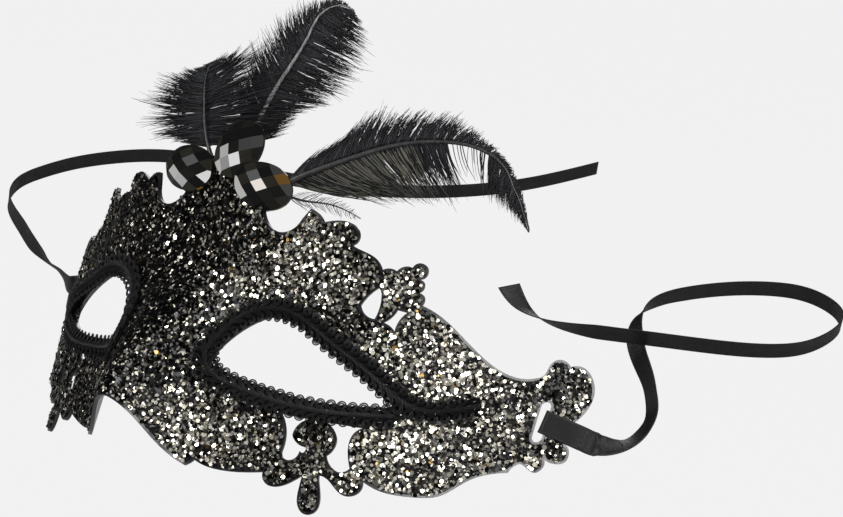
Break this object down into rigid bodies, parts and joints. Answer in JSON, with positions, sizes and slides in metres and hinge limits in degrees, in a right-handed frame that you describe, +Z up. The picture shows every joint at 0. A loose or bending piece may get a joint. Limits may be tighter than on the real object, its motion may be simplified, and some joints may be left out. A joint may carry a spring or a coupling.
{
  "type": "masquerade eye mask",
  "caption": "Venetian half mask: wrapped glittering shell with lace edge, corded eye trims, faceted gems, feathers on a crown and ribbon ties looped through temple slots.",
  "frame": {"origin": "on the symmetry plane, level with the outer corners of the eyes, on the curve the brow would follow without the nose", "axes": "+Z up as worn, the face looks along -Y, +X is the wearer's left; X = 0 is the mask's symmetry plane"},
  "size_m": [0.2696, 0.2148, 0.1257],
  "materials": {
    "black_plastic": "glossy",
    "glitter": "silver and champagne glitter in black lacquer",
    "metallic_braid": "black metallic cord",
    "smoky_gem": "faceted, mirror backed",
    "mirror_foil": "bright",
    "clear_glue": "translucent",
    "black_satin": "satin",
    "black_thread": "matte",
    "quill": "horny, satin",
    "black_feather": "soft, slightly iridescent"
  },
  "bodies": {
    "mask": {"mask_shell": "black_plastic", "glitter_coat": "glitter", "eye_trim_left": "metallic_braid", "eye_trim_right": "metallic_braid", "gem_centre": "smoky_gem", "gem_foil_centre": "mirror_foil", "gem_glue_centre": "clear_glue", "gem_left": "smoky_gem", "gem_foil_left": "mirror_foil", "gem_glue_left": "clear_glue", "gem_right": "smoky_gem", "gem_foil_right": "mirror_foil", "gem_glue_right": "clear_glue", "feather_glue": "clear_glue"},
    "ribbon_loop_left": {"ribbon_loop_left": "black_satin", "ribbon_stitches_left": "black_thread"},
    "ribbon_tail_left": {"ribbon_tail_left": "black_satin"},
    "ribbon_loop_right": {"ribbon_loop_right": "black_satin", "ribbon_stitches_right": "black_thread"},
    "ribbon_tail_right": {"ribbon_tail_right": "black_satin"},
    "feather_upright": {"feather_upright_quill": "quill", "feather_upright_vane": "black_feather"},
    "feather_plume": {"feather_plume_quill": "quill", "feather_plume_vane": "black_feather"},
    "feather_side": {"feather_side_quill": "quill", "feather_side_vane": "black_feather", "feather_wisp_quill": "quill", "feather_wisp_vane": "black_feather"}
  },
  "joints": [
    {"name": "ribbon_loop_left_slide", "type": "slide", "parent": "mask", "child": "ribbon_loop_left", "axis": [0, 0.2425, 0.9701], "range_m": [-0.0012, 0.0012]},
    {"name": "ribbon_loop_right_slide", "type": "slide", "parent": "mask", "child": "ribbon_loop_right", "axis": [0, 0.2425, 0.9701], "range_m": [-0.0012, 0.0012]},
    {"name": "ribbon_tail_left_swing", "type": "hinge", "parent": "ribbon_loop_left", "child": "ribbon_tail_left", "pos_m": [0.10023, 0.04822, -0.00224], "axis": [0.0952, 0.3145, 0.9445], "range_deg": [-50, 70]},
    {"name": "ribbon_tail_right_swing", "type": "hinge", "parent": "ribbon_loop_right", "child": "ribbon_tail_right", "pos_m": [-0.10023, 0.04881, 0.00012], "axis": [0.0952, 0.1669, 0.9814], "range_deg": [-30, 55]},
    {"name": "feather_upright_flex", "type": "hinge", "parent": "mask", "child": "feather_upright", "pos_m": [-0.0067, 0.0154, 0.046], "axis": [0.9659, 0.2588, 0], "range_deg": [-1.5, 6], "stiffness_Nm_per_rad": 0.0008},
    {"name": "feather_plume_flex", "type": "hinge", "parent": "mask", "child": "feather_plume", "pos_m": [-0.001, 0.0194, 0.047], "axis": [0.9272, 0.3746, 0], "range_deg": [-10, 1], "stiffness_Nm_per_rad": 0.0008},
    {"name": "feather_side_flex", "type": "hinge", "parent": "mask", "child": "feather_side", "pos_m": [0.011, 0.01475, 0.045], "axis": [0.7431, 0.6691, 0], "range_deg": [-8, 5], "stiffness_Nm_per_rad": 0.0008}
  ]
}
